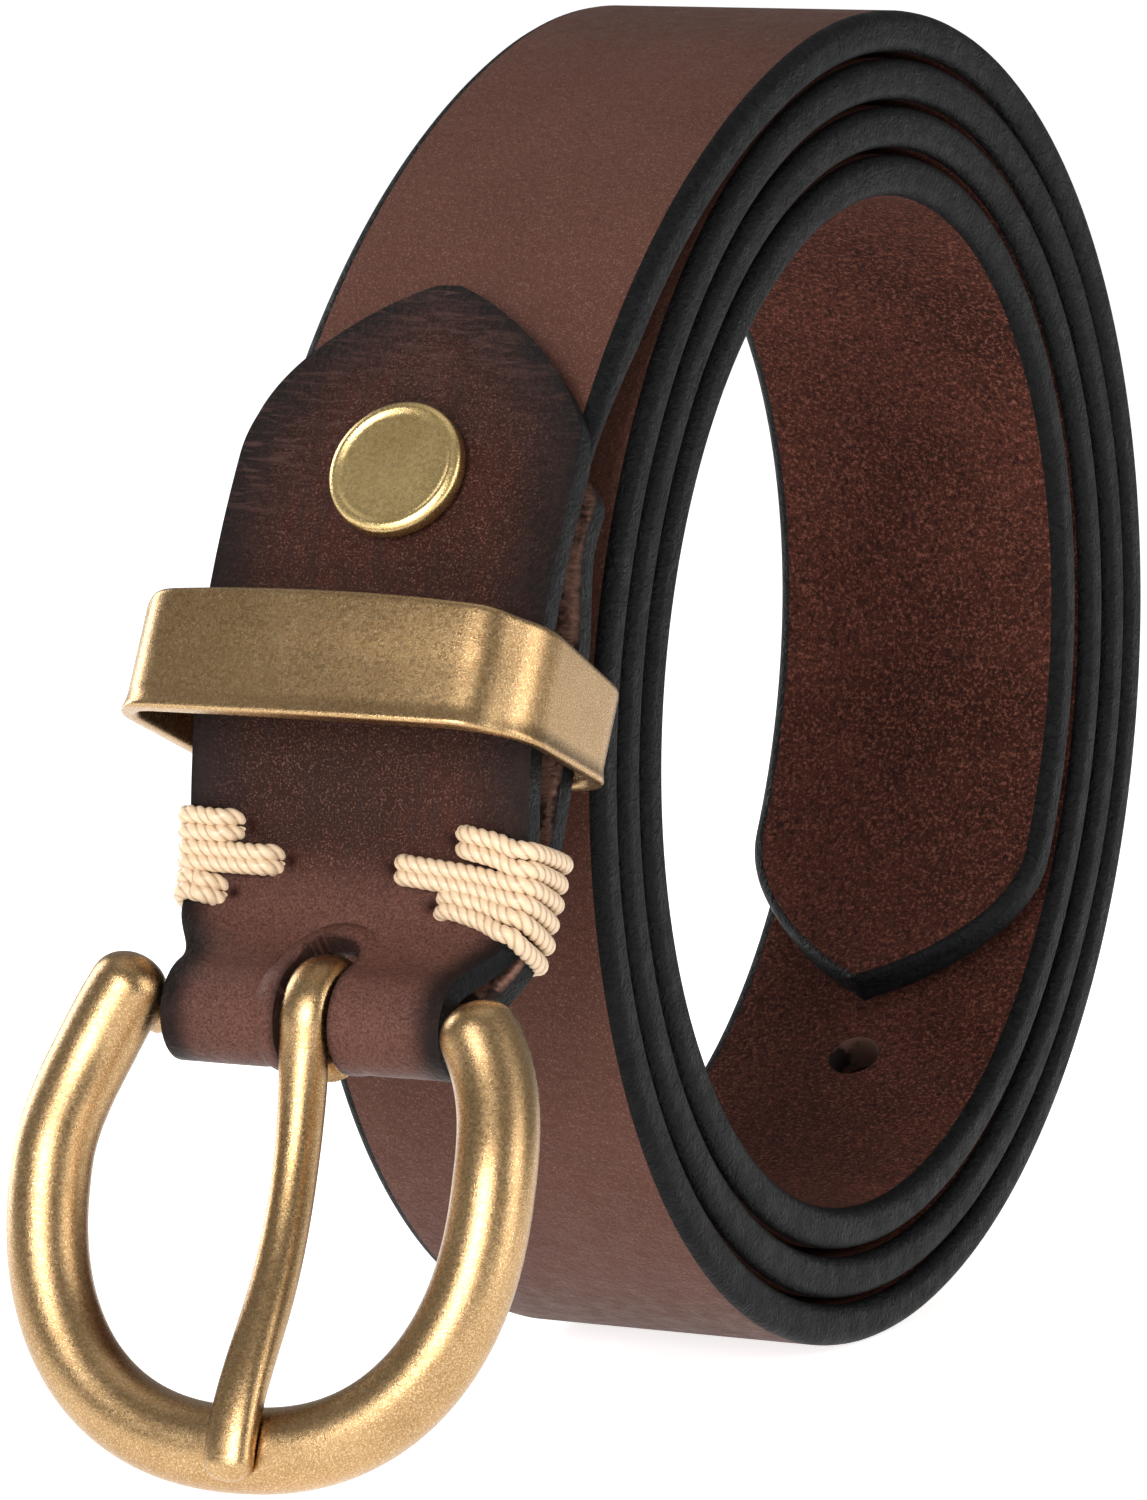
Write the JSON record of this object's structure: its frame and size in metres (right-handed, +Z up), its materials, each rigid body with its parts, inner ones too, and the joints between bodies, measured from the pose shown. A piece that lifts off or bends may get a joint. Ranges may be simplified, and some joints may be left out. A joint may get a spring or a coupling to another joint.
{
  "type": "leather belt",
  "caption": "Man's leather belt rolled into a standing coil, with a horseshoe buckle, its prong, a metal keeper loop, a screw rivet and corded stitching.",
  "frame": {"origin": "on the ground, under the middle of the belt's box", "axes": "+Z up, +X across the strap's width, -Y towards the buckle"},
  "size_m": [0.052, 0.1704, 0.1292],
  "materials": {
    "strap_leather": "smooth brown with black edges",
    "chape_leather": "dark brown, burnished",
    "brass": "antique, tumbled",
    "thread": "waxed cord"
  },
  "bodies": {
    "belt": {"strap": "strap_leather", "chape": "chape_leather", "rivet_cap": "brass", "rivet_screw": "brass", "stitch_left_upper": "thread", "stitch_left_middle": "thread", "stitch_left_lower": "thread", "stitch_right_upper": "thread", "stitch_right_middle": "thread", "stitch_right_lower": "thread"},
    "frame": {"buckle_frame": "brass"},
    "tongue": {"prong": "brass"},
    "keeper": {"keeper_loop": "brass"}
  },
  "joints": [
    {"name": "frame_hinge", "type": "hinge", "parent": "belt", "child": "frame", "pos_m": [0, -0.06175, 0.04195], "axis": [-1, 0, 0], "range_deg": [-30, 45]},
    {"name": "prong_hinge", "type": "hinge", "parent": "frame", "child": "tongue", "pos_m": [0, -0.06175, 0.04195], "axis": [-1, 0, 0], "range_deg": [0, 75]},
    {"name": "keeper_slide", "type": "slide", "parent": "belt", "child": "keeper", "axis": [0, 0.4384, 0.8988], "range_m": [-0.003, 0.007]}
  ]
}
